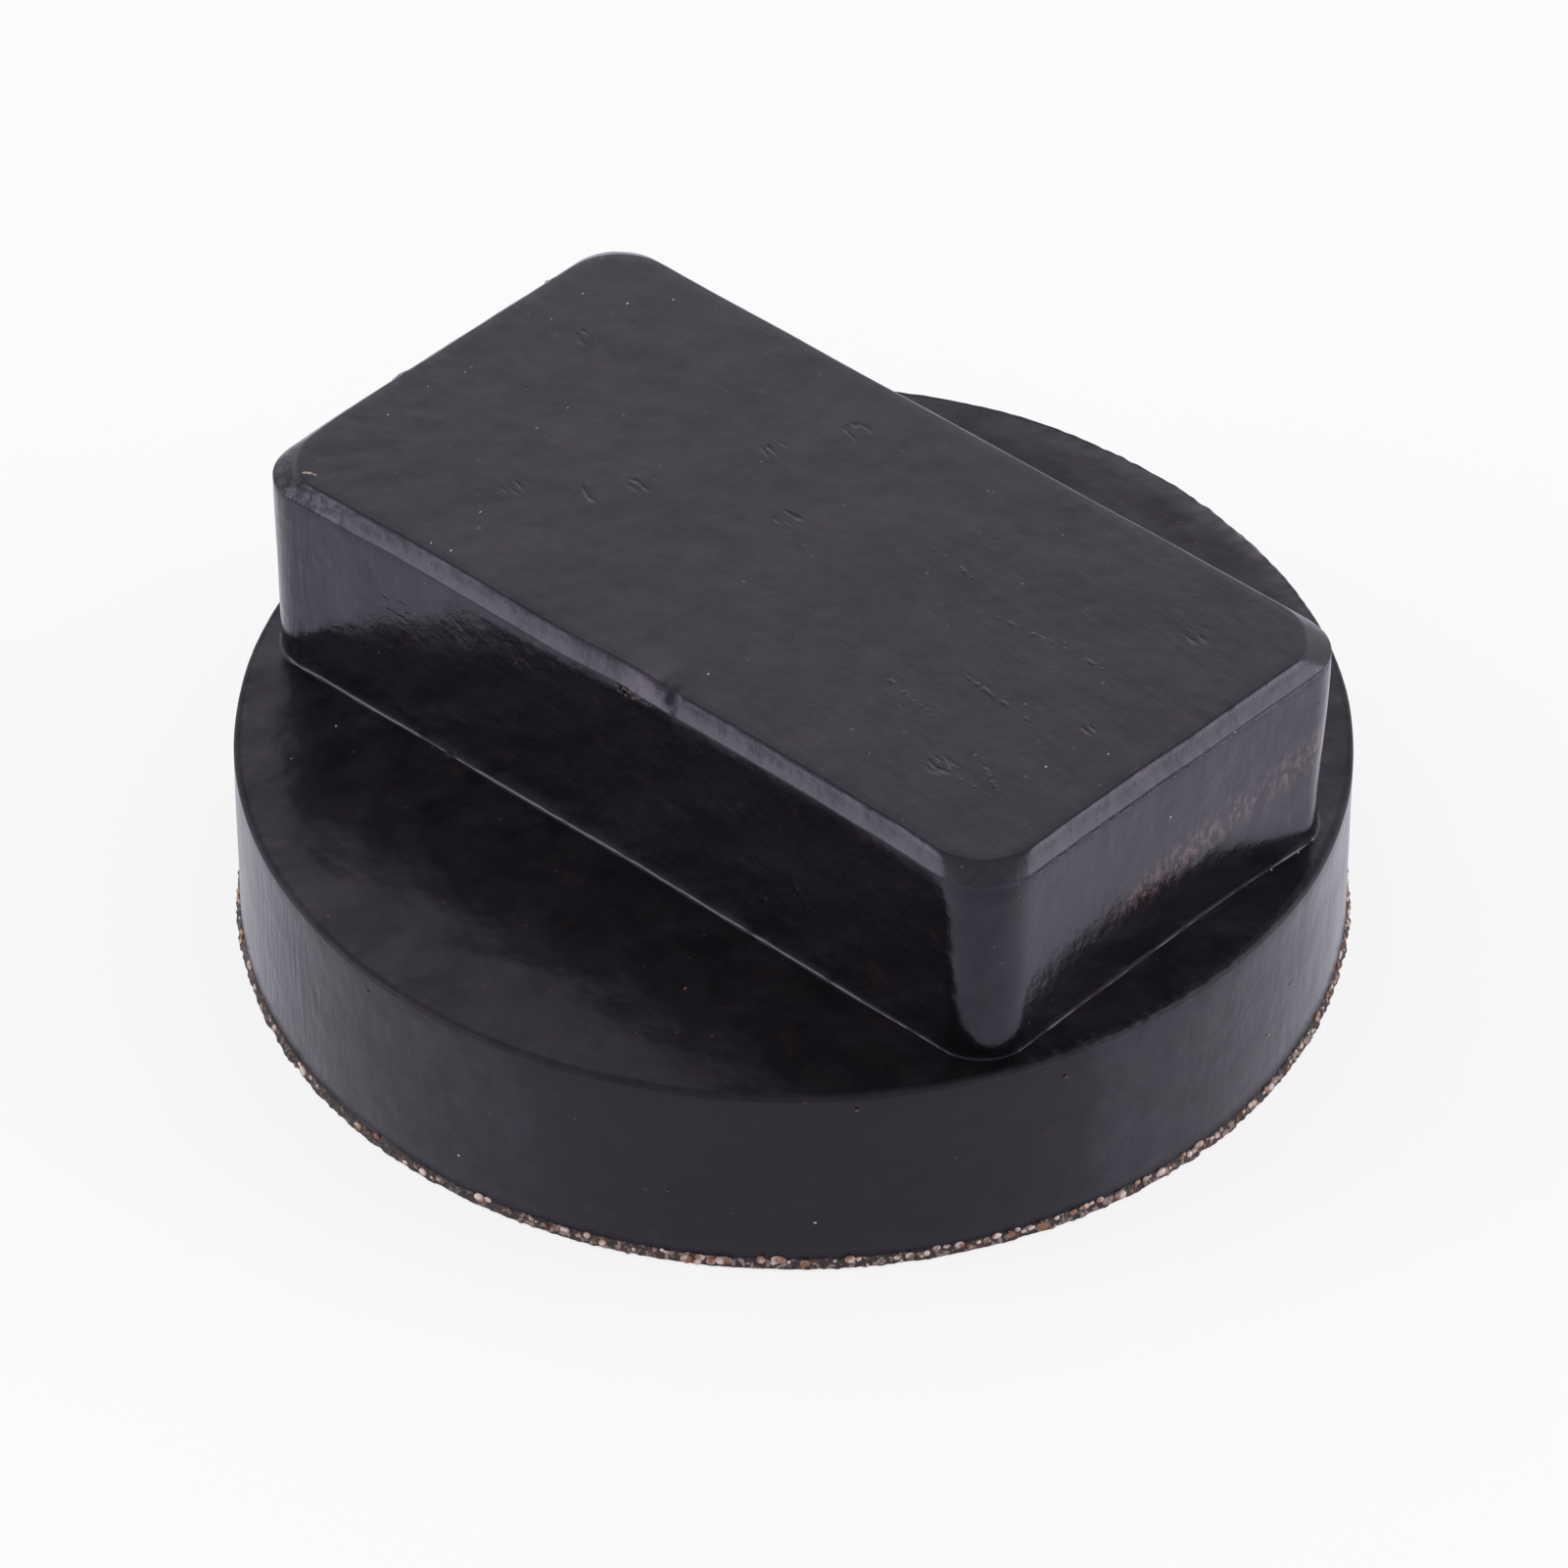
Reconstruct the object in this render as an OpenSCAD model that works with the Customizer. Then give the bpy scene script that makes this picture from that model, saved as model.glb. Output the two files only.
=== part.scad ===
// Rubber pad that sits between a trolley jack's saddle and a sill's jacking point.
// The origin is the centre of the flat underside: +X runs along the block, +Z points up.

/* [Base] */
// Diameter of the round base at the foot of its wall
base_d = 74.5; // [73:0.1:110]
// Height of the base, trimmed lip included
base_h = 14.5; // [6:0.1:30]
// Angle by which the base wall leans in towards its rim
base_draft = 0.5; // [0:0.1:4]
// Radius of the rounded top rim of the base
rim_r = 0.8; // [0.2:0.1:2.5]

/* [Trimmed lip] */
// How far the trimmed lip stands out of the base wall
lip_out = 0.3; // [0.1:0.05:1.5]
// Height of the lip above the underside
lip_h = 0.9; // [0.5:0.1:3]

/* [Block] */
// Length of the block that enters the jacking point
block_l = 65.2; // [40:0.1:68]
// Width of the block
block_w = 35.2; // [20:0.1:40]
// Height of the block above the base
block_h = 15.2; // [6:0.1:30]
// Radius of the block's upright corners
corner_r = 3.8; // [2:0.1:8]

/* [Bevel] */
// Width of the bevel round the block's top, seen from above
bevel_w = 1.0; // [0.3:0.1:2.5]
// Height of the bevel
bevel_h = 1.0; // [0.3:0.1:2.5]
// Corner radius of the flat top face inside the bevel
top_corner_r = 4.3; // [2:0.1:7]

/* [Foot] */
// Radius of the small fillet where the block meets the base
foot_r = 0.4; // [0.1:0.05:1.5]

/* [Hidden] */
$fn = 96;

full_h = base_h + block_h;
// The rim's arc is tangent to the leaning wall and to the base's flat top
rim_z = base_h - rim_r;
rim_x = wall_radius(rim_z) - rim_r / cos(base_draft);
// Thickness of the two outlines that the bevel spans
skin = 0.01;

rubber = "#27272b";

// Radius of the base wall at height z
function wall_radius(z) = base_d / 2 - (z - lip_h) * tan(base_draft);

module rounded_rect(l, w, r) {
  square([l - 2 * r, w], center = true);
  square([l, w - 2 * r], center = true);
  for (x = [-1, 1], y = [-1, 1])
    translate([x * (l / 2 - r), y * (w / 2 - r)]) circle(r);
}

// Sweeps its child round a rectangle with rounded corners. The child is a section whose
// x counts outwards from a corner's axis, so the rectangle's own edge is at x = r.
module swept_round(l, w, r) {
  run_x = l - 2 * r;
  run_y = w - 2 * r;
  for (corner = [[1, 1, 0], [-1, 1, 90], [-1, -1, 180], [1, -1, 270]])
    translate([corner.x * run_x / 2, corner.y * run_y / 2, 0])
      rotate(corner.z) rotate_extrude(angle = 90) children();
  for (turn = [0, 180]) {
    rotate(turn) straight_run(run_x, run_y / 2) children();
    rotate(turn + 90) straight_run(run_y, run_x / 2) children();
  }
}

// Extrudes its child's section along X, centred, with the section's x laid along +Y
module straight_run(run, axis_y) {
  translate([-run / 2, axis_y, 0])
    rotate([90, 0, 90]) linear_extrude(run) children();
}

// Half section of the base: flat underside, lip with a sloped top, leaning wall, round rim
module base_section() {
  lip_x = base_d / 2 + lip_out;
  tangent = [rim_x + rim_r * cos(base_draft), rim_z + rim_r * sin(base_draft)];
  polygon([
    [0, 0], [lip_x, 0], [lip_x, lip_h - lip_out], [base_d / 2, lip_h],
    tangent, [rim_x, base_h], [0, base_h]
  ]);
  translate([rim_x, rim_z]) circle(rim_r);
}

// Concave fillet between the block's wall, at x = corner_r, and the base's top
module foot_section() {
  difference() {
    translate([corner_r, base_h]) square(foot_r);
    translate([corner_r + foot_r, base_h + foot_r]) circle(foot_r);
  }
}

// The bevel runs from the walls' outline to the top face's, whose corners are rounder
module bevelled_top() {
  hull() {
    translate([0, 0, full_h - bevel_h]) linear_extrude(skin)
      rounded_rect(block_l, block_w, corner_r);
    translate([0, 0, full_h - skin]) linear_extrude(skin)
      rounded_rect(block_l - 2 * bevel_w, block_w - 2 * bevel_w, top_corner_r);
  }
}

module block() {
  linear_extrude(full_h - bevel_h) rounded_rect(block_l, block_w, corner_r);
  bevelled_top();
  swept_round(block_l, block_w, corner_r) foot_section();
}

module jack_pad() {
  color(rubber) union() {
    rotate_extrude() base_section();
    block();
  }
}

jack_pad();
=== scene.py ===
"""Rubber jack pad: a round base with a long bevelled block moulded on its top."""
import math
import random

import bmesh
import bpy
from mathutils import Matrix, Vector, noise


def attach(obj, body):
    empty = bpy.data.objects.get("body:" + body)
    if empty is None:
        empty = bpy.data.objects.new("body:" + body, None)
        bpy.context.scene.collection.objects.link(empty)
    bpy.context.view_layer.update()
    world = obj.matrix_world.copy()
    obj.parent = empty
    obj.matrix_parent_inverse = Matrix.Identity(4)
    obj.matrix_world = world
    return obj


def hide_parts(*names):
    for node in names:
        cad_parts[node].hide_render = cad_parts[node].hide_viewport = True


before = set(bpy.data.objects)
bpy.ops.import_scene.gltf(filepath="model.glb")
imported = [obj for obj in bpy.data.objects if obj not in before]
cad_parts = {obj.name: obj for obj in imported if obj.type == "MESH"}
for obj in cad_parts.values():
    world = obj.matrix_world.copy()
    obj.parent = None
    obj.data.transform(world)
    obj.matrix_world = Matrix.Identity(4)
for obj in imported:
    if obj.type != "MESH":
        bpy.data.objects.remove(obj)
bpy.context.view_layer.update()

MM = 0.001

# Sizes in mm, near the solid model's; rim, foot and cut fabric edge as they look when worn
BASE_R = 37.25
BASE_H = 14.5
DRAFT = math.radians(0.5)
RIM_R = 0.3
PLY_H = 0.7
PLY_OUT = 0.3
BLOCK_X = 32.6
BLOCK_Y = 17.6
CORNER_R = 3.8
TOP_CORNER_R = 4.3
TOP_Z = 29.7
BEVEL = 1.0
BEVEL_Z = TOP_Z - BEVEL
FOOT_R = 0.28

# Where along x the nick cuts the front bevel
NICK_X = 4.5
# x - y where the block's front corner begins, and where it is full
FRONT_CORNER = (45, 48)


# Small maths

def mix(first, second, share):
    return first + (second - first) * share


def ease(value, low, high):
    """0 below low, 1 above high, smooth between."""
    share = min(1, max(0, (value - low) / (high - low)))
    return share * share * (3 - 2 * share)


def hump(value, centre, reach):
    """1 at centre, fading to 0 at reach on either side."""
    return 1 - ease(abs(value - centre), 0, reach)


def along(value, knots):
    """Smooth steps through (place, amount) knots."""
    for (low, first), (high, second) in zip(knots, knots[1:]):
        if value <= high:
            return mix(first, second, ease(value, low, high))
    return knots[-1][1]


def ripple(point, size, seed=0):
    """Smooth noise from -1 to 1 whose humps are about size mm across."""
    return noise.noise(Vector(point) / size + Vector((seed, seed * 1.7, seed * 2.3)))


# Shader nodes

class Value:
    """A socket of a shader; arithmetic on it adds Math nodes."""

    def __init__(self, graph, socket):
        self.graph = graph
        self.socket = socket

    def math(self, operation, first, second):
        return self.graph.node("ShaderNodeMath", {"operation": operation}, {0: first, 1: second})

    def __add__(self, other):
        return self.math("ADD", self, other)

    def __radd__(self, other):
        return self.math("ADD", other, self)

    def __sub__(self, other):
        return self.math("SUBTRACT", self, other)

    def __rsub__(self, other):
        return self.math("SUBTRACT", other, self)

    def __mul__(self, other):
        return self.math("MULTIPLY", self, other)

    def __rmul__(self, other):
        return self.math("MULTIPLY", other, self)

    def between(self, low, high):
        """0 where this is below low, 1 where above high, smooth between."""
        settings = {"interpolation_type": "SMOOTHSTEP"}
        return self.graph.node("ShaderNodeMapRange", settings, {0: self, 1: low, 2: high})


class Graph:
    """The nodes of one material or of the world."""

    def __init__(self, owner):
        owner.use_nodes = True
        self.tree = owner.node_tree
        self.tree.nodes.clear()

    def node(self, kind, settings=None, inputs=None, output=0):
        """Adds a node, sets it, fills or links its sockets and gives one of its outputs."""
        added = self.tree.nodes.new(kind)
        for name, setting in (settings or {}).items():
            setattr(added, name, setting)
        for name, given in (inputs or {}).items():
            socket = added.inputs[name]
            if isinstance(given, Value):
                self.tree.links.new(given.socket, socket)
            else:
                socket.default_value = given
        return Value(self, added.outputs[output]) if added.outputs else None

    def place(self):
        """The place on the pad, in mm."""
        point = self.node("ShaderNodeTexCoord", output="Object")
        return self.node("ShaderNodeVectorMath", {"operation": "SCALE"}, {0: point, "Scale": 1 / MM})

    def axis(self, point, name):
        return self.node("ShaderNodeSeparateXYZ", inputs={0: point}, output=name)

    def drawn_out(self, point, stretch, turn=0.0, origin=(0, 0, 0)):
        """The place, with every pattern drawn out by stretch along the axes turned by turn."""
        return self.node("ShaderNodeMapping", {"vector_type": "TEXTURE"},
                         {"Vector": point, "Location": origin, "Rotation": (0, 0, turn),
                          "Scale": stretch})

    def clouds(self, point, size, detail=2.0, rough=0.5):
        """Noise from 0 to 1 whose humps are about size mm across."""
        inputs = {"Vector": point, "Scale": 1 / size, "Detail": detail, "Roughness": rough}
        return self.node("ShaderNodeTexNoise", inputs=inputs)

    def spot(self, point, centre, reach):
        """1 at centre, fading to 0 at reach."""
        far = self.node("ShaderNodeVectorMath", {"operation": "DISTANCE"},
                        {0: point, 1: centre}, "Value")
        return 1 - far.between(reach * 0.3, reach)

    def specks(self, point, spacing):
        """1 in tiny scattered dots, 0 elsewhere."""
        far = self.node("ShaderNodeTexVoronoi", inputs={"Vector": point, "Scale": 1 / spacing})
        return 1 - far.between(0.02, 0.07)

    def blend(self, share, first, second):
        return self.node("ShaderNodeMix", {"data_type": "RGBA"}, {0: share, 6: first, 7: second}, 2)

    def relief(self, height):
        """A normal from a height in mm."""
        return self.node("ShaderNodeBump", inputs={"Height": height, "Distance": MM})

    def path(self, name):
        return self.node("ShaderNodeLightPath", output=name)

    def surface(self, shader):
        self.node("ShaderNodeOutputMaterial", inputs={"Surface": shader})


def colour(red, green, blue):
    return (red, green, blue, 1.0)


# Places on the pad, for its materials

def on_rim(graph, point):
    """1 on the rounded rim of the base, 0 elsewhere."""
    flat = graph.node("ShaderNodeVectorMath", {"operation": "MULTIPLY"}, {0: point, 1: (1, 1, 0)})
    out = graph.node("ShaderNodeVectorMath", {"operation": "LENGTH"}, {0: flat}, "Value")
    near_wall = out.between(BASE_R - 0.75, BASE_R - 0.45)
    return near_wall * graph.axis(point, "Z").between(BASE_H - 0.4, BASE_H - 0.2)


def on_base_top(graph, point):
    """1 at the height of the base's top, 0 elsewhere."""
    z = graph.axis(point, "Z")
    return z.between(BASE_H - 0.4, BASE_H - 0.1) * (1 - z.between(BASE_H + 0.2, BASE_H + 0.6))


def at_front_corner(graph, point):
    """1 at the block's front corner, 0 elsewhere."""
    return (graph.axis(point, "X") - graph.axis(point, "Y")).between(*FRONT_CORNER)


def at_left_corner(graph, point, start, full):
    """1 at the block's left corner, 0 elsewhere; start and full are values of -x - y."""
    return (0 - graph.axis(point, "X") - graph.axis(point, "Y")).between(start, full)


# Relief of the rubber's skin, in mm

# Scratches on the block's top: (x, y, half length, turn in degrees)
SCRATCHES = [(23.5, -10.4, 3.7, -4), (19.6, 3.6, 6.4, 4), (25.2, -9.2, 2.5, -31),
             (20.5, -3.0, 4.5, -6), (15.5, -6.5, 3.5, -10), (9.0, 5.5, 3.0, -8)]

# Centres of small clusters of dents, on the top and the front wall
DENT_CLUSTERS = [(26.7, -1.6, TOP_Z), (22.0, -10.4, TOP_Z), (25.5, 10.5, TOP_Z),
                 (-17.8, -7.8, TOP_Z), (-13.5, -5.3, TOP_Z), (-11.7, -2.0, TOP_Z),
                 (-7.7, 6.5, TOP_Z), (-5.0, 11.7, TOP_Z), (-2.0, 1.7, TOP_Z),
                 (-25.2, 7.2, TOP_Z), (-20.5, -17.5, 24.3), (-18.8, -17.5, 24.5)]


def waves(graph, point, on_top):
    """Broad waves, wrinkles that are weaker on the block's top, and swells on the base's top."""
    broad = graph.clouds(point, 9, 2.0) * 0.10
    wrinkles = (graph.clouds(point, 2.6, 2.0) - 0.5) * (0.07 - 0.035 * on_top)
    swells = (graph.clouds(point, 4.5, 1.0) - 0.5) * on_base_top(graph, point) * 0.14
    return broad + wrinkles + swells


def pitting(graph, point, pits, on_bevel, on_wall):
    """Pits all over, deepest on the rim and on the bevel's rubbed corners."""
    rubbed = (0.022 + 0.06 * at_left_corner(graph, point, 43, 46)
              + 0.03 * at_front_corner(graph, point))
    on_block_wall = on_wall * graph.axis(point, "Z").between(BASE_H + 0.1, BASE_H + 0.5)
    return pits * (0.010 + rubbed * on_bevel + 0.05 * on_rim(graph, point)
                   + 0.014 * on_block_wall)


def upright_strokes(graph, point, on_wall):
    """Strokes up the walls, and finer streaks at the block's left corner."""
    strokes = graph.clouds(graph.drawn_out(point, (1, 1, 4)), 1.4, 2.0, 0.6) - 0.5
    streaks = graph.clouds(graph.drawn_out(point, (1, 1, 7)), 0.45, 2.0, 0.6) - 0.5
    left_corner = at_left_corner(graph, point, 43, 46)
    return strokes * on_wall * 0.035 + streaks * on_wall * left_corner * 0.05


def drag_marks(graph, point, on_top):
    """Lines dragged along the right half of the block's top."""
    drag = graph.clouds(graph.drawn_out(point, (5, 1, 1), math.radians(-8)), 0.9, 3.0, 0.65)
    return drag * on_top * graph.axis(point, "X").between(-4, 16) * 0.024


def dents(graph, point, on_top):
    """Clusters of short dents, deeper on the block's top than on its front wall."""
    near = sum(graph.spot(point, place, 1.2) for place in DENT_CLUSTERS)
    lines = graph.clouds(graph.drawn_out(point, (3.5, 1, 1), math.radians(-15)), 0.42, 0.0)
    return near * lines.between(0.48, 0.72) * (0.02 + 0.03 * on_top)


def scratches(graph, point, pits, on_top):
    """The raised burrs of thin, broken scratches."""
    near = 0.0
    for x, y, half, turn in SCRATCHES:
        local = graph.drawn_out(point, (half, 0.26, 9), math.radians(turn), (x, y, TOP_Z))
        near = near + graph.spot(local, (0, 0, 0), 1)
    return near * pits.between(-0.04, 0.14) * on_top * 0.035


def broken_seam(graph, point, pits):
    """The broken groove just below the bevel of the right end."""
    z = graph.axis(point, "Z")
    band = z.between(BEVEL_Z - 0.40, BEVEL_Z - 0.28) * (1 - z.between(BEVEL_Z - 0.24, BEVEL_Z - 0.12))
    band = band * graph.axis(point, "X").between(BLOCK_X - 0.7, BLOCK_X - 0.3)
    return band * pits.between(-0.1, 0.05) * 0.05


def rubber_relief(graph, point):
    """Height of the rubber's skin: waves, pits, strokes and marks."""
    z = graph.axis(point, "Z")
    on_top = z.between(TOP_Z - 0.4, TOP_Z - 0.1)
    on_bevel = z.between(BEVEL_Z - 0.3, BEVEL_Z) * (1 - on_top)
    on_wall = (1 - z.between(BEVEL_Z - 0.5, BEVEL_Z - 0.1)) * (1 - on_base_top(graph, point))
    pits = graph.clouds(point, 0.7, 3.0, 0.65) - 0.5
    height = waves(graph, point, on_top) + pitting(graph, point, pits, on_bevel, on_wall)
    height = height + upright_strokes(graph, point, on_wall) + drag_marks(graph, point, on_top)
    height = height - dents(graph, point, on_top) + scratches(graph, point, pits, on_top)
    return height - broken_seam(graph, point, pits)


# The rubber

def end_scuffs(graph, point):
    """Strong in the strokes of the brown scuff on the right end wall, 0 elsewhere."""
    y = graph.axis(point, "Y")
    level = graph.axis(point, "Z") - y * 0.1
    band = level.between(18.8, 20.4) * (1 - level.between(21.0, 23.2))
    band = band * graph.axis(point, "X").between(BLOCK_X - 0.8, BLOCK_X - 0.4) * y.between(-7, -2)
    strokes = graph.clouds(graph.drawn_out(point, (1, 1, 1.7)), 0.5, 3.0, 0.65)
    return band * strokes.between(0.45, 0.62) * 0.9


def rubber_tone(graph, point):
    """Near black, with grey bloom on top, a film on the base, smears, a scuff and specks."""
    on_top = graph.axis(point, "Z").between(TOP_Z - 0.7, TOP_Z - 0.2)
    bloom = graph.clouds(point, 2.0, 5.0, 0.72).between(0.42, 0.72) * on_top
    tone = graph.blend(bloom * 0.7, colour(0.0034, 0.0030, 0.0034), colour(0.0090, 0.0078, 0.0105))
    film = graph.clouds(point, 2.4, 4.0, 0.6).between(0.35, 0.65) * on_base_top(graph, point)
    tone = graph.blend(film * 0.7, tone, colour(0.0092, 0.0080, 0.0084))
    smear = graph.clouds(point, 3.2, 4.0, 0.7).between(0.56, 0.78)
    tone = graph.blend(smear * 0.8, tone, colour(0.0150, 0.0080, 0.0074))
    tone = graph.blend(end_scuffs(graph, point), tone, colour(0.105, 0.064, 0.058))
    tone = graph.blend(graph.specks(point, 2.3) * on_top, tone, colour(0.075, 0.070, 0.090))
    return graph.blend(graph.specks(point, 2.1), tone, colour(0.060, 0.030, 0.026))


def nick_sheen_and_shade(graph, point):
    """Painted highlight left of the nick's crease, where the rubber is made shinier, and painted
    shade in its notch, where it is made duller: each 1 there, 0 elsewhere.
    """
    crease = NICK_X + 0.7 - 1.9 * (graph.axis(point, "Z") - BEVEL_Z)
    past = graph.axis(point, "X") - crease
    # Painted highlight: the rubber left of the crease is made shinier
    painted_sheen = past.between(-4.5, -0.8) * (1 - past.between(-0.1, 0.2))
    painted_sheen = painted_sheen * graph.spot(point, (NICK_X - 2.5, -17.0, 29.2), 5)
    # Painted shade: the notch is made fully dull
    return painted_sheen, graph.spot(point, (NICK_X + 0.2, -16.8, 29.5), 0.65)


def dull_share(graph, point, in_base, on_bevel):
    """How dull the rubber is: the base, patches and the front corner are duller, and the nick's notch
    is made duller as painted shade; the right end is less dull, and the rubber beside the nick's
    crease is made shinier as a painted highlight."""
    front_corner = at_front_corner(graph, point)
    left_end = at_left_corner(graph, point, 38, 44)
    right_end = graph.axis(point, "X").between(BLOCK_X - 0.8, BLOCK_X - 0.3) * (1 - front_corner)
    patches = graph.clouds(point, 2.2, 4.0, 0.65).between(0.35, 0.75)
    blotches = graph.clouds(point, 0.7, 3.0, 0.6).between(0.44, 0.58)
    painted_sheen, notch = nick_sheen_and_shade(graph, point)
    share = 0.25 + in_base * 0.5 + patches * 0.3
    share = share + front_corner * (0.35 - 0.65 * on_bevel) - right_end * (0.25 - 0.3 * on_bevel)
    share = share + left_end * on_bevel * (blotches * 0.9 - 0.2)
    share = share + front_corner * on_bevel * (blotches * 0.5 - 0.15)
    # Shinier under the painted highlight, and fully dull in the notch as painted shade
    return share - painted_sheen * 0.4 + notch


def rubber_material():
    """Satin black rubber: a shiny and a dull finish mixed, both rougher on bevel, rim and lip; the
    mix also paints shade in the nick's notch and a highlight beside its crease.
    """
    rubber = bpy.data.materials.new("moulded_black_rubber")
    graph = Graph(rubber)
    point = graph.place()
    z = graph.axis(point, "Z")
    in_base = 1 - z.between(BASE_H, BASE_H + 0.08)
    on_bevel = z.between(BEVEL_Z - 0.5, BEVEL_Z + 0.2) * (1 - z.between(TOP_Z - 0.3, TOP_Z - 0.1))
    near_lip = 1 - z.between(PLY_H + 0.2, PLY_H + 1.7)
    roughness = 0.14 + 0.09 * graph.clouds(point, 3, 2.0) + 0.05 * in_base + 0.12 * on_bevel
    roughness = roughness + 0.12 * on_bevel * at_front_corner(graph, point)
    look = {
        "Base Color": rubber_tone(graph, point),
        "Roughness": roughness + 0.32 * on_rim(graph, point) + 0.2 * near_lip,
        "IOR": 1.5,
        "Specular Tint": colour(0.88, 0.815, 1.0),
        "Normal": graph.relief(rubber_relief(graph, point)),
    }
    shiny = graph.node("ShaderNodeBsdfPrincipled", inputs={**look, "Specular IOR Level": 0.68})
    dull = graph.node("ShaderNodeBsdfPrincipled", inputs={**look, "Specular IOR Level": 0.34})
    share = dull_share(graph, point, in_base, on_bevel)
    graph.surface(graph.node("ShaderNodeMixShader", inputs={0: share, 1: shiny, 2: dull}))
    return rubber


# The other materials

def ply_material():
    """Cut edge of the bonded fabric: dark brown, with lighter yarn, most of it at the right."""
    ply = bpy.data.materials.new("rubbered_fabric")
    graph = Graph(ply)
    point = graph.place()
    lumps = graph.clouds(point, 0.45, 2.0, 0.6)
    crowd = 0.35 + 0.6 * graph.axis(point, "X").between(0, 12)
    tone = graph.blend(lumps.between(0.5, 0.62) * crowd, colour(0.034, 0.023, 0.020),
                       colour(0.30, 0.235, 0.21))
    rust = graph.clouds(point, 1.2, 2.0).between(0.58, 0.66)
    tone = graph.blend(rust * 0.8, tone, colour(0.10, 0.042, 0.024))
    shader = graph.node("ShaderNodeBsdfPrincipled", inputs={
        "Base Color": tone,
        "Roughness": 0.65,
        "Normal": graph.relief(lumps * 0.3),
    })
    graph.surface(shader)
    return ply


def mottled_material(name, first, second, size, roughness):
    """Small stuff: mottled from one tone to the other, with a fine nap."""
    stuff = bpy.data.materials.new(name)
    graph = Graph(stuff)
    point = graph.place()
    patches = graph.clouds(point, size, 3.0)
    shader = graph.node("ShaderNodeBsdfPrincipled", inputs={
        "Base Color": graph.blend(patches.between(0.38, 0.62), first, second),
        "Roughness": roughness,
        "Normal": graph.relief(graph.clouds(point, 0.12, 2.0) * 0.04),
    })
    graph.surface(shader)
    return stuff


def yarn_material():
    return mottled_material("cut_yarn", colour(0.74, 0.62, 0.56), colour(0.27, 0.12, 0.065),
                            0.8, 0.7)


def chip_material():
    return mottled_material("pale_flake", colour(0.60, 0.50, 0.38), colour(0.22, 0.15, 0.10),
                            0.6, 0.6)


def crumb_material():
    return mottled_material("brown_crumbs", colour(0.050, 0.030, 0.024), colour(0.012, 0.009, 0.009),
                            0.4, 0.5)


def dust_material():
    return mottled_material("white_dust", colour(0.60, 0.58, 0.62), colour(0.35, 0.34, 0.36),
                            1, 0.8)


def fibre_material():
    return mottled_material("red_brown_fibre", colour(0.22, 0.09, 0.06), colour(0.12, 0.06, 0.05),
                            1, 0.8)


def floor_material():
    """White: lit by the lamps, and glowing where the camera or a reflection sees it."""
    floor = bpy.data.materials.new("white_studio_floor")
    graph = Graph(floor)
    lit = graph.node("ShaderNodeBsdfDiffuse", inputs={"Color": colour(0.92, 0.92, 0.92)})
    tint = graph.blend(graph.path("Is Camera Ray"), colour(1.0, 0.975, 1.10), colour(1, 1, 1))
    white = graph.node("ShaderNodeEmission", inputs={"Color": tint, "Strength": 1.0})
    seen = graph.path("Is Camera Ray") + graph.path("Is Glossy Ray")
    seen = seen + graph.path("Is Transmission Ray")
    graph.surface(graph.node("ShaderNodeMixShader", inputs={0: seen * 0.8, 1: lit, 2: white}))
    return floor


# Mesh helpers

def finished(bm, name, material):
    """Turns a mesh in mm into a smooth piece in metres."""
    bmesh.ops.recalc_face_normals(bm, faces=bm.faces[:])
    bmesh.ops.scale(bm, vec=(MM, MM, MM), verts=bm.verts[:])
    mesh = bpy.data.meshes.new(name)
    bm.to_mesh(mesh)
    bm.free()
    mesh.materials.append(material)
    mesh.shade_smooth()
    piece = bpy.data.objects.new(name, mesh)
    bpy.context.scene.collection.objects.link(piece)
    return piece


def lofted(count, rings, place):
    """A closed skin: one ring of vertices, extruded from ring to ring and capped at both ends."""
    bm = bmesh.new()
    number = bm.verts.layers.int.new("number")
    start = bmesh.ops.create_circle(bm, segments=count, radius=1)["verts"]
    for index, vert in enumerate(start):
        vert[number] = index
        vert.co = place(index, rings[0])
    edges = bm.edges[:]
    for ring in rings[1:]:
        grown = bmesh.ops.extrude_edge_only(bm, edges=edges)["geom"]
        fresh = {item for item in grown if isinstance(item, bmesh.types.BMVert)}
        for vert in fresh:
            vert.co = place(vert[number], ring)
        edges = [item for item in grown if isinstance(item, bmesh.types.BMEdge)
                 and item.verts[0] in fresh and item.verts[1] in fresh]
    bmesh.ops.remove_doubles(bm, verts=bm.verts[:], dist=0.0001)
    bmesh.ops.holes_fill(bm, edges=[edge for edge in bm.edges if edge.is_boundary])
    return bm


def rounded_path(corners, step):
    """Points along a polyline whose corners (x, z, radius) are rounded by arcs."""
    path = [Vector(corners[0][:2])]
    for before, corner, after in zip(corners, corners[1:], corners[2:]):
        here = Vector(corner[:2])
        radius = corner[2]
        back = (Vector(before[:2]) - here).normalized()
        ahead = (Vector(after[:2]) - here).normalized()
        half = back.angle(ahead) / 2
        first = here + back * radius / math.tan(half)
        last = here + ahead * radius / math.tan(half)
        centre = here + (back + ahead).normalized() * radius / math.sin(half)
        steps = max(2, round(radius * (math.pi - 2 * half) / step))
        for index in range(steps + 1):
            spoke = (first - centre).lerp(last - centre, index / steps).normalized()
            path.append(centre + spoke * radius)
    path.append(Vector(corners[-1][:2]))
    return path


def filled_in(path, spacing):
    """The same path with more points, none further apart than spacing."""
    dense = [path[0]]
    for first, last in zip(path, path[1:]):
        parts = max(1, math.ceil((last - first).length / spacing))
        dense += [first.lerp(last, (index + 1) / parts) for index in range(parts)]
    return dense


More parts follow.
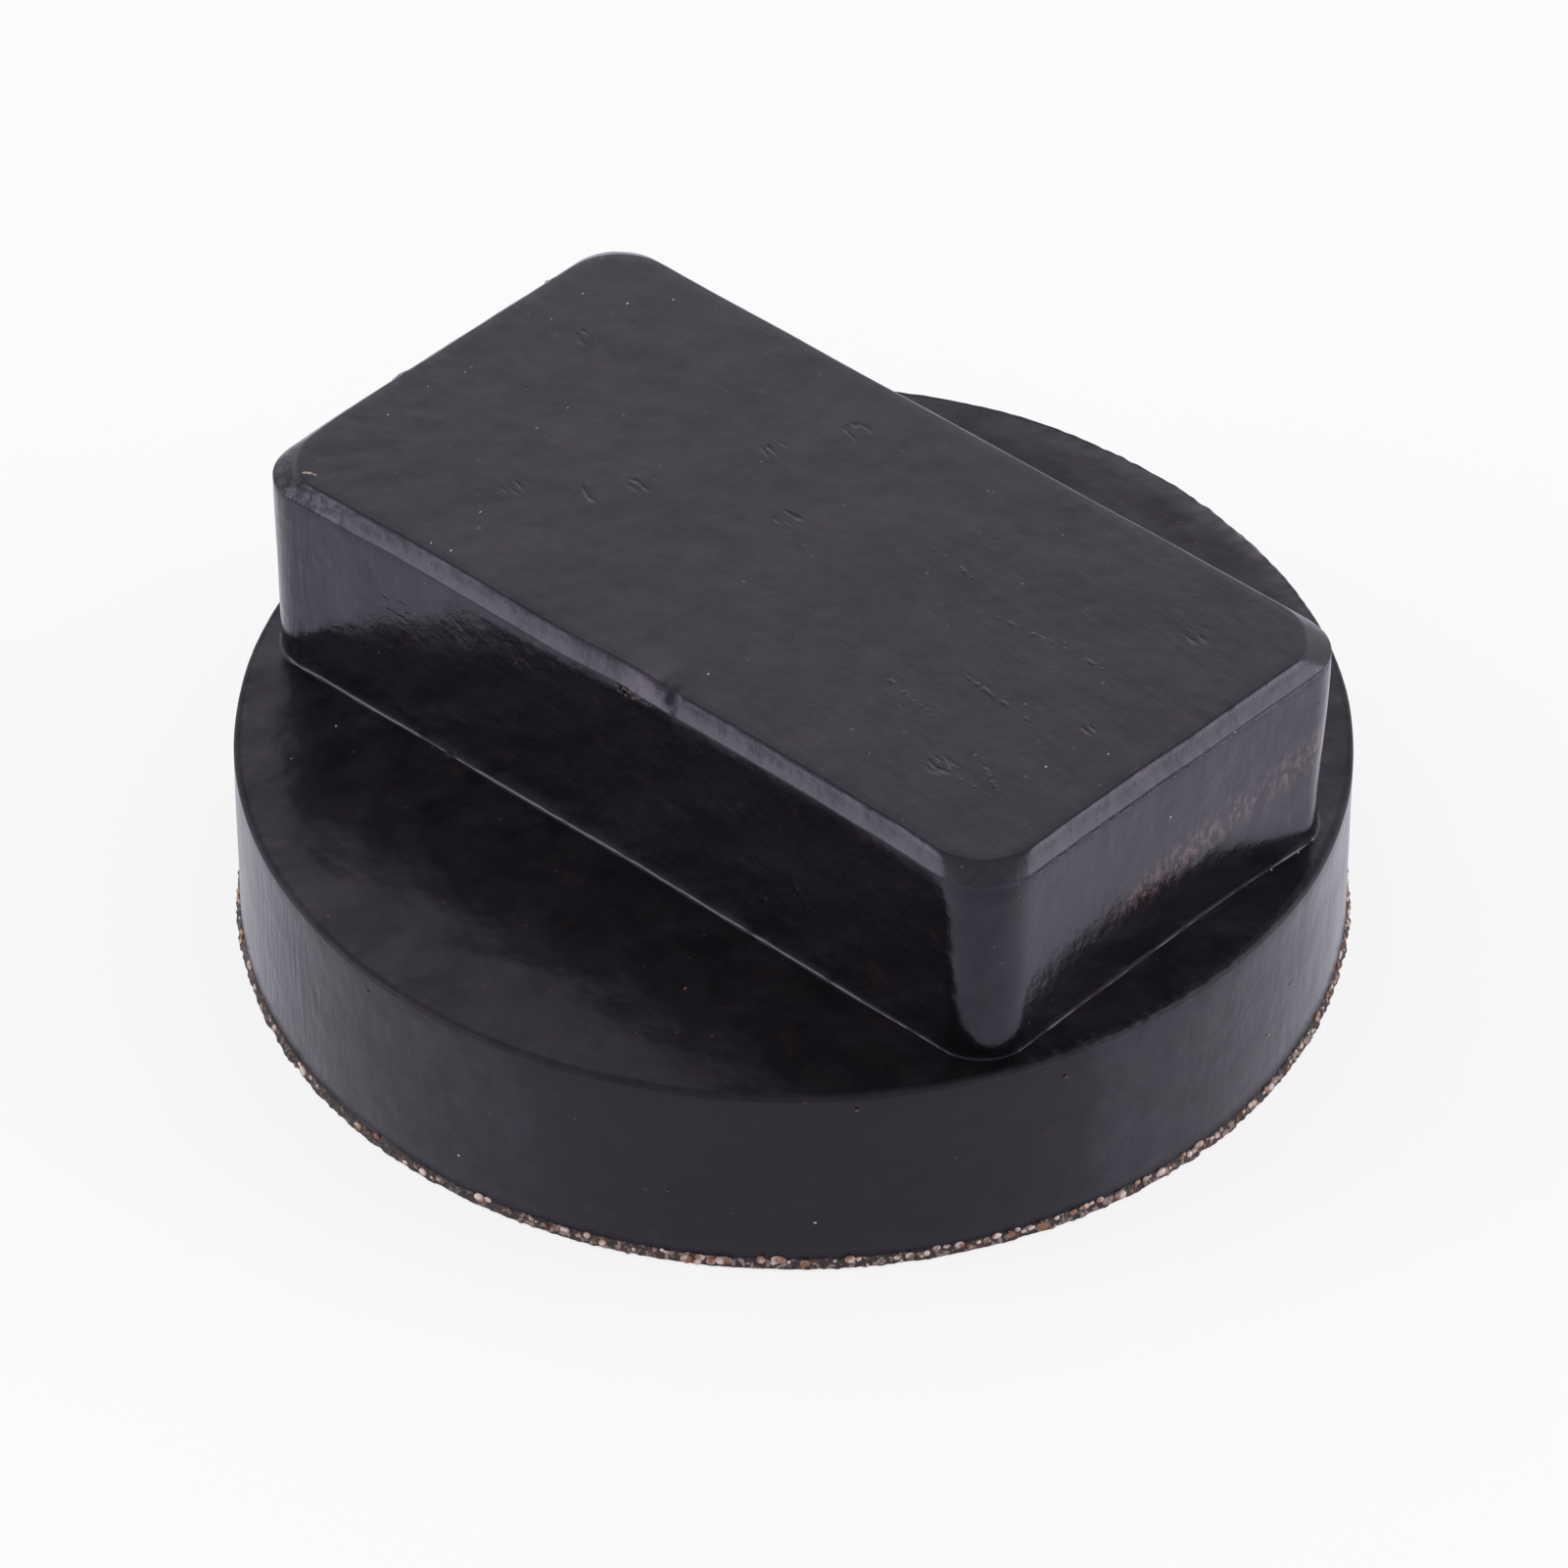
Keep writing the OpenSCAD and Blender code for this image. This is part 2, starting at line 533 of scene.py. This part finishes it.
def bead(bm, place, size, turn):
    """One small lump, size (out, along, up), whose outward side faces turn round the base."""
    lump = bmesh.ops.create_uvsphere(bm, u_segments=7, v_segments=5, radius=1)["verts"]
    bmesh.ops.scale(bm, vec=size, verts=lump)
    bmesh.ops.rotate(bm, matrix=Matrix.Rotation(turn, 3, "Z"), verts=lump)
    bmesh.ops.translate(bm, vec=place, verts=lump)


# Outline of the moulding

# Steps of a ring on the block's short and long sides, and on each corner
SHORT_STEPS = 120
LONG_STEPS = 288
CORNER_STEPS = 22
# Angles from the X axis at which a short side ends and the long side after it begins
SHORT_END = math.atan2(BLOCK_Y - CORNER_R, BLOCK_X)
LONG_START = math.atan2(BLOCK_Y, BLOCK_X - CORNER_R)
# The groove above the lip, at the left front, which fades in and out between angles in degrees
GROOVE_Z = PLY_H + 0.26
GROOVE_DEPTH = 0.22
GROOVE_FADE_IN = (222, 235)
GROOVE_FADE_OUT = (262, 276)


def round_walk():
    """For each vertex of a ring: quarter turn, kind, share along it, angle on the base."""
    walk = []
    for quarter in range(4):
        is_short = quarter % 2 == 0
        steps = SHORT_STEPS if is_short else LONG_STEPS
        reach = SHORT_END if is_short else math.pi / 2 - LONG_START
        corner_end = LONG_START if is_short else math.pi / 2 - SHORT_END
        middle = quarter * math.pi / 2
        for index in range(steps):
            share = index / steps
            walk.append((quarter, "side", share, middle + mix(-reach, reach, share)))
        for index in range(CORNER_STEPS):
            share = index / CORNER_STEPS
            walk.append((quarter, "corner", share, middle + mix(reach, corner_end, share)))
    return walk


WALK = round_walk()


def on_block(index, inset):
    """A point on the block's outline, moved in by inset, whose corners change with the inset."""
    quarter, kind, share, _ = WALK[index]
    if inset < 0:
        radius = CORNER_R - inset
    elif inset <= BEVEL:
        radius = mix(CORNER_R, TOP_CORNER_R, inset / BEVEL)
    else:
        radius = max(TOP_CORNER_R - inset + BEVEL, 0.2 * (BLOCK_Y - inset))
    far = BLOCK_X - inset if quarter % 2 == 0 else BLOCK_Y - inset
    side = BLOCK_Y - inset if quarter % 2 == 0 else BLOCK_X - inset
    straight = side - radius
    if kind == "side":
        local = Vector((far, mix(-straight, straight, share)))
    else:
        angle = share * math.pi / 2
        local = Vector((far - radius + radius * math.cos(angle),
                        straight + radius * math.sin(angle)))
    local.rotate(Matrix.Rotation(quarter * math.pi / 2, 2))
    return local


def on_base(index, radius):
    angle = WALK[index][3]
    return Vector((radius * math.cos(angle), radius * math.sin(angle)))


def moulding_rings():
    """Sections of the pad from the middle of its top to the middle of its underside.

    Each ring is (share of circle, inset from the block's wall, radius on the base, z)."""
    block = rounded_path([(5, TOP_Z), (BEVEL, TOP_Z, 0.25), (0, BEVEL_Z, 0.2),
                          (0, BASE_H, FOOT_R), (-1, BASE_H)], 0.07)
    block = [spot for spot in filled_in(block, 0.9) if spot.x >= -FOOT_R - 1e-4]
    rim_z = BASE_H - RIM_R
    rim_x = BASE_R - (rim_z - PLY_H) * math.tan(DRAFT) - RIM_R
    groove = BASE_R - GROOVE_DEPTH
    base = rounded_path([(rim_x, BASE_H), (rim_x + RIM_R, BASE_H, RIM_R),
                         (BASE_R, GROOVE_Z + 0.19, 0.08), (groove, GROOVE_Z + 0.06, 0.06),
                         (groove, GROOVE_Z - 0.06, 0.06), (BASE_R, GROOVE_Z - 0.21, 0.08),
                         (BASE_R, PLY_H - 0.3, 0.1), (BASE_R - 1.5, PLY_H - 0.3, 0.05),
                         (BASE_R - 1.9, 0, 0.05), (BASE_R - 4, 0)], 0.1)
    rings = [(0, inset, 0, TOP_Z) for inset in (BLOCK_Y, 14, 11, 8.5, 6.5)]
    rings += [(0, spot.x, 0, spot.y) for spot in block]
    steps = 18
    rings += [(index / steps, -FOOT_R, rim_x, BASE_H) for index in range(1, steps)]
    rings += [(1, 0, spot.x, spot.y) for spot in filled_in(base, 1.1)]
    return rings


# Unevenness of this pad's moulding

# How far in from its plane the front wall stands along x, at the foot and at the bevel; less
# than 0 is out
FRONT_FOOT = [(-30, -0.36), (-24, -0.23), (-18, -0.12), (-6, -0.05), (4, 0.1), (14, 0.05), (30, 0)]
FRONT_TOP = [(-30, -0.32), (-24, -0.2), (-19, 0), (-5, 0.02), (2, 0.38), (5, 0.28), (10, 0.3),
             (17, 0.36), (22, 0.22), (30, 0)]
# How far out of its plane the right end wall stands along y, at the foot and at the bevel; less
# than 0 is in
END_FOOT = [(-15, -0.1), (-3, -0.12), (6, 0.03), (14, 0.34)]
END_TOP = [(-15, -0.15), (-9, -0.18), (-2, -0.08), (4, 0.15), (14, 0.4)]
# How full the little fillet at the foot of the front wall is along x
FOOT_FULL = [(-30, 0.5), (-27, 1), (-19, 0.9), (-16, 0.25), (-13, 0.4), (-11, 1), (20, 0.9),
             (25.5, 0.3), (30, 0.2)]


def uneven_wall(spot, height):
    """Where a point of the block's outline really stands: shrinkage has left the front and the
    right end wavy, the left corner set in, and the back leaning in at its right foot."""
    rise = ease(height, BASE_H, BEVEL_Z)
    front = ease(-spot.y, 10, BLOCK_Y - 1)
    end = ease(spot.x, 24, BLOCK_X - 1)
    left_corner = ease(-spot.x, 26, 30) * ease(-spot.y, 9, 14)
    back = ease(spot.y, 12, 16) * ease(spot.x, 20, 29) * 0.74 * (1 - rise)
    inward = mix(along(spot.x, FRONT_FOOT), along(spot.x, FRONT_TOP), rise)
    outward = mix(along(spot.y, END_FOOT), along(spot.y, END_TOP), rise)
    return spot + Vector((end * outward + left_corner * mix(0.36, 0.18, rise),
                          front * inward - back))


def foot_share(wall):
    """How much of its full width the foot's fillet has at a point of the wall's outline."""
    if wall.y < -BLOCK_Y + 0.01:
        return max(0.04, along(wall.x, FOOT_FULL) + 0.5 * ripple((wall.x, 0, 0), 1.0, 3))
    if wall.x > BLOCK_X - 0.01:
        full = 0.25 + 0.8 * ripple((BLOCK_X, wall.y, 0), 1.4, 8)
        return max(0.05, full) * (1 - ease(wall.y, 12, 15))
    if wall.x > 0 and wall.y < 0:
        return 0.3 + 0.3 * ripple((wall.x, wall.y, 0), 1.0, 3)
    return 1


def place_on_moulding(index, ring):
    """A point of a ring: on the block's outline, on the base's circle, or between the two."""
    share, inset, radius, height = ring
    spot = on_block(index, inset)
    if inset < 0:
        wall = on_block(index, 0)
        spot = wall.lerp(spot, foot_share(wall))
    if share < 1:
        spot = uneven_wall(spot, height)
        spot = spot.lerp(on_base(index, radius), share) if share else spot
    else:
        degrees = math.degrees(WALK[index][3])
        depth = ease(degrees, *GROOVE_FADE_IN) * (1 - ease(degrees, *GROOVE_FADE_OUT))
        in_groove = hump(height, GROOVE_Z, 0.4)
        spot = on_base(index, mix(radius, mix(BASE_R, radius, depth), in_groove))
    return Vector((spot.x, spot.y, height))


# Wear of the moulding

def nick(spot):
    """The cut in the front bevel: the rubber left of a slanting crease stands proud, with a
    small notch in the upper edge and torn flash below."""
    if spot.y > -15 or spot.z < 27.5 or abs(spot.x - NICK_X) > 8:
        return Vector()
    outward = Vector((0, -1, 1)) * math.sqrt(0.5)
    on_bevel = ease(-spot.y, BLOCK_Y - 1.7, BLOCK_Y - 1) * ease(spot.z, BEVEL_Z - 0.8, BEVEL_Z)
    crease = mix(NICK_X + 0.7, NICK_X - 1.2, ease(spot.z, BEVEL_Z, TOP_Z))
    proud = ease(spot.x, crease - 4, crease - 0.5) * (1 - ease(spot.x, crease - 0.2, crease + 0.4))
    notch = hump(spot.x, NICK_X + 0.2, 0.6) * hump(spot.z, TOP_Z, 0.5)
    push = outward * on_bevel * (0.10 * proud - 0.13 * notch)
    flash = hump(spot.x, NICK_X - 2.2, 2.0) * hump(spot.z, BEVEL_Z - 0.25, 0.5)
    torn = flash * (0.10 + 0.16 * ripple(spot, 0.45, 9))
    return push + Vector((0, -torn, 0))


def rim_wear(spot):
    """The base's rim: ragged, most of all at the right, rubbed down at the back right, and
    bulging between the two."""
    reach = spot.xy.length
    degrees = math.degrees(math.atan2(spot.y, spot.x))
    rim = hump(spot.z, BASE_H - 0.1, 0.5) * ease(reach, 36.2, 36.9)
    ragged = 0.05 * ripple(spot, 0.9, 4) + 0.14 * ripple(spot, 0.55, 6) * hump(degrees, -12, 45)
    rubbed = hump(degrees, 77, 36) * (0.22 + 0.12 * ripple(spot, 0.8, 7))
    bulge = hump(spot.z, BASE_H, 5) * ease(reach, 33, 36.5) * hump(degrees, 18, 26)
    out = Vector((spot.x, spot.y, 0)) / max(1, reach)
    up = Vector((0, 0, 1))
    return up * rim * ragged - (out + up) * rim * rubbed + out * bulge * 0.2


def bevel_wear(spot):
    """The bevel: an uneven edge, most of all at the left, a rubbed front corner, and two nubs
    on the left end."""
    edge = hump(spot.z, TOP_Z - BEVEL / 2, 0.8) * (1 + 2 * ease(-spot.x, 24, 29))
    push = Vector((0, 0, edge * 0.03 * ripple(spot, 1.1, 5)))
    rubbed = hump(spot.z, BEVEL_Z, 1.4) * ease(spot.x - spot.y, *FRONT_CORNER)
    push += Vector((-1, 1, 0)) * rubbed * (0.14 + 0.08 * ripple(spot, 0.9, 6))
    if spot.x < -31.5:
        nubs = hump(spot.y, -3.8, 0.4) + hump(spot.y, 10.4, 0.4)
        push.x -= 0.22 * nubs * hump(spot.z, 29.3, 0.6)
    return push


def wear_moulding(bm):
    """Hand moulding's waves, the rim's and the bevel's wear, and the nick; the underside stays
    flat."""
    for vert in bm.verts:
        spot = vert.co.copy()
        push = Vector((ripple(spot, 7, 1), ripple(spot, 7, 2), ripple(spot, 7, 3))) * 0.05
        push += rim_wear(spot) + bevel_wear(spot)
        vert.co = spot + push * ease(spot.z, 0, 0.6) + nick(spot)


def moulded_pad(rubber):
    bm = lofted(len(WALK), moulding_rings(), place_on_moulding)
    wear_moulding(bm)
    pad = finished(bm, "moulded_pad", rubber)
    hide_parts("jack_pad")
    return pad


# The bonded fabric

PLY_STEPS = 1600
# Places round the base where a cut end of yarn may stand
YARN_PLACES = 420

# Sections of the fabric, from inside over its cut edge and under the base to inside again:
# (how far out of the base's wall, z, how ragged)
PLY_RINGS = [(-1.5, PLY_H - 0.1, 0), (-0.03, PLY_H + 0.1, 0.3), (0.08, 0.66, 0.7), (0.16, 0.5, 1),
             (PLY_OUT - 0.07, 0.36, 1), (PLY_OUT, 0.24, 1), (PLY_OUT - 0.15, 0.12, 1),
             (PLY_OUT - 0.2, 0.02, 0.4), (-0.4, 0, 0), (-2, 0, 0), (-2.05, 0.3, 0)]


def place_on_ply(index, ring):
    out, height, rag = ring
    angle = math.tau * index / PLY_STEPS
    spot = Vector((BASE_R * math.cos(angle), BASE_R * math.sin(angle), height))
    ragged = 0.13 * ripple(spot, 0.42, 4) + 0.14 * ripple(spot, 1.1, 5)
    radius = BASE_R + out + rag * ragged
    height = max(0, height + rag * 0.10 * ripple(spot, 0.7, 6))
    return Vector((radius * math.cos(angle), radius * math.sin(angle), height))


def fabric_ply(material):
    return finished(lofted(PLY_STEPS, PLY_RINGS, place_on_ply), "fabric_ply", material)


def yarn_ends(material, rng):
    """Cut ends of yarn: crowded at the right and front, few at the left."""
    bm = bmesh.new()
    for index in range(YARN_PLACES):
        angle = math.tau * (index + rng.uniform(-0.35, 0.35)) / YARN_PLACES
        degrees = math.degrees(angle)
        crowd = 0.85 if degrees > 285 or degrees < 120 else 0.4
        fat = rng.uniform(0.30, 0.44) if rng.random() < 0.2 else rng.uniform(0.16, 0.30)
        height = rng.uniform(fat * 0.8, 0.78)
        size = (fat * 0.5, fat * rng.uniform(0.7, 1.4), fat * 0.8)
        out = BASE_R + PLY_OUT - 0.04 - 0.3 * height
        place = (out * math.cos(angle), out * math.sin(angle), height)
        if rng.random() < crowd:
            bead(bm, place, size, angle)
    return finished(bm, "yarn_ends", material)


# Dust, fibres and crumbs

# On the block's top: (x, y) in mm
TOP_DUST = [(-29.2, -8.0), (-28.7, -1.2), (-28.5, 7.0), (-20.9, 0.6), (-20.9, -2.4), (-25.9, 11.7),
            (-23.9, 14.1), (-28.9, 10.5), (-29.4, -4.0), (-17.4, -11.4), (-17.5, -15.9),
            (-16.0, -15.6), (5.0, -13.6), (27.0, -6.0), (29.1, -2.4)]
TOP_FIBRES = [(18.1, -9.5), (21.7, -10.3), (26.3, -1.7), (25.7, 15.6)]
# On the right end wall: (y, z)
END_DUST = [(5.7, 28.6), (-0.2, 25.1)]
END_FIBRES = [(11.8, 27.7), (14.0, 26.0)]
# On the base's top: (x, y)
BASE_DUST = [(33.2, 12.4), (33.0, 9.9), (-22.2, -20.7), (-22.0, -25.1)]
BASE_FIBRES = [(-10.3, -34.4), (-9.0, -34.7), (-23.2, -28.2), (13.4, -29.5), (12.8, -24.3)]
# On the base's wall: (angle in degrees, z)
WALL_DUST = [(21.5, 13.4), (13.0, 7.5), (8.5, 5.3), (-45.5, 4.0), (-83, 3.5)]
WALL_FIBRES = [(-95, 13.0), (-20, 12.7), (-41.5, 13.5), (-60, 6.0)]
CRUMB_COUNT = 18


def grains(name, material, rng, size, top, end, base_top, base_wall):
    """Tiny grains stuck to the pad, half sunk."""
    places = [(x, y, TOP_Z, 0) for x, y in top]
    places += [(BLOCK_X + along(y, END_TOP) - 0.02, y, z, 0) for y, z in end]
    places += [(x, y, BASE_H, 0) for x, y in base_top]
    for degrees, z in base_wall:
        angle = math.radians(degrees)
        places.append((BASE_R * math.cos(angle), BASE_R * math.sin(angle), z, angle))
    bm = bmesh.new()
    for x, y, z, turn in places:
        fat = size * rng.uniform(0.7, 1.3)
        bead(bm, (x, y, z), (fat * 0.8, fat * rng.uniform(0.8, 1.6), fat * 0.8), turn)
    return finished(bm, name, material)


def dust(material, rng):
    return grains("dust", material, rng, 0.075, TOP_DUST, END_DUST, BASE_DUST, WALL_DUST)


def stray_fibres(material, rng):
    return grains("stray_fibres", material, rng, 0.085, TOP_FIBRES, END_FIBRES, BASE_FIBRES,
                  WALL_FIBRES)


def corner_chip(material):
    """The pale flake on the top's far left corner."""
    bm = bmesh.new()
    bead(bm, (-28.7, -16.1, TOP_Z), (0.40, 0.12, 0.10), math.radians(35))
    bead(bm, (-28.3, -15.9, TOP_Z), (0.25, 0.08, 0.06), math.radians(15))
    return finished(bm, "corner_chip", material)


def torn_flash(material, rng):
    """Ragged brown crumbs that hang under the bevel, left of the cut."""
    bm = bmesh.new()
    for _ in range(CRUMB_COUNT):
        x = rng.uniform(0, 3.6)
        fat = rng.uniform(0.09, 0.18)
        place = (x, -BLOCK_Y + along(x, FRONT_TOP) - 0.06, rng.uniform(28.1, 28.6))
        bead(bm, place, (fat * rng.uniform(1, 2.4), fat * 0.8, fat * rng.uniform(0.7, 1.3)), 0)
    return finished(bm, "torn_flash", material)


# Studio

def studio_floor():
    """A wide white floor, a hair below the pad's underside."""
    bm = bmesh.new()
    bmesh.ops.create_grid(bm, x_segments=1, y_segments=1, size=4000)
    bmesh.ops.translate(bm, vec=(0, 0, -0.02), verts=bm.verts[:])
    floor = finished(bm, "studio_floor", floor_material())


def studio_world():
    """A bright backdrop behind the pad that fades upwards; the camera's side is dimmer."""
    world = bpy.data.worlds.new("white_studio")
    bpy.context.scene.world = world
    graph = Graph(world)
    direction = graph.node("ShaderNodeTexCoord", output="Generated")
    height = graph.axis(direction, "Z")
    behind = graph.node("ShaderNodeVectorMath", {"operation": "DOT_PRODUCT"},
                        {0: direction, 1: (-0.67, 0.74, 0)}, "Value")
    backdrop = 1.24 - 0.72 * height.between(0.35, 0.95)
    backdrop = backdrop * (0.6 + 0.4 * height.between(0.05, 0.35))
    tone = 0.7 + behind.between(-0.3, 0.5) * (backdrop - 0.7)
    tint = graph.node("ShaderNodeVectorMath", {"operation": "SCALE"},
                      {0: (1.0, 0.98, 1.05), "Scale": tone})
    light = graph.node("ShaderNodeBackground", inputs={"Color": tint, "Strength": 1.0})
    graph.node("ShaderNodeOutputWorld", inputs={"Surface": light})


def softbox(name, azimuth, elevation, distance, width, radiance):
    """A square lamp that faces the pad, sizes in metres; radiance 1 shows as white."""
    lamp = bpy.data.lights.new(name, "AREA")
    lamp.shape = "SQUARE"
    lamp.size = width
    lamp.energy = radiance * math.pi * width * width
    box = bpy.data.objects.new(name, lamp)
    around = math.radians(azimuth)
    up = math.radians(elevation)
    direction = Vector((math.cos(up) * math.cos(around), math.cos(up) * math.sin(around),
                        math.sin(up)))
    box.location = direction * distance
    box.rotation_euler = direction.to_track_quat("Z", "Y").to_euler()
    bpy.context.scene.collection.objects.link(box)


def photo_camera():
    """The photograph's view: a long lens, some 41 degrees above the floor."""
    camera = bpy.data.cameras.new("camera")
    camera.sensor_width = 36
    camera.lens = 187.13
    camera.clip_start = 0.01
    view = bpy.data.objects.new("camera", camera)
    view.location = Vector((280.48, -308.01, 360.15)) * MM
    aim = Vector((-0.5158, 0.5647, -0.6443))
    view.rotation_euler = aim.to_track_quat("-Z", "Y").to_euler()
    bpy.context.scene.collection.objects.link(view)
    bpy.context.scene.camera = view


def pieces():
    """Every piece of the pad; the random draws follow one another in this order."""
    rng = random.Random(11)
    return [
        moulded_pad(rubber_material()),
        fabric_ply(ply_material()),
        yarn_ends(yarn_material(), rng),
        dust(dust_material(), rng),
        stray_fibres(fibre_material(), rng),
        corner_chip(chip_material()),
        torn_flash(crumb_material(), rng),
    ]


photo_camera()
studio_floor()
studio_world()
softbox("left_softbox", azimuth=-131, elevation=22, distance=1.2, width=0.68, radiance=2.8)
softbox("right_softbox", azimuth=40, elevation=20, distance=1.2, width=0.70, radiance=3.0)

for piece in pieces():
    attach(piece, "root")

bpy.context.scene.view_settings.view_transform = "Standard"
bpy.context.view_layer.update()
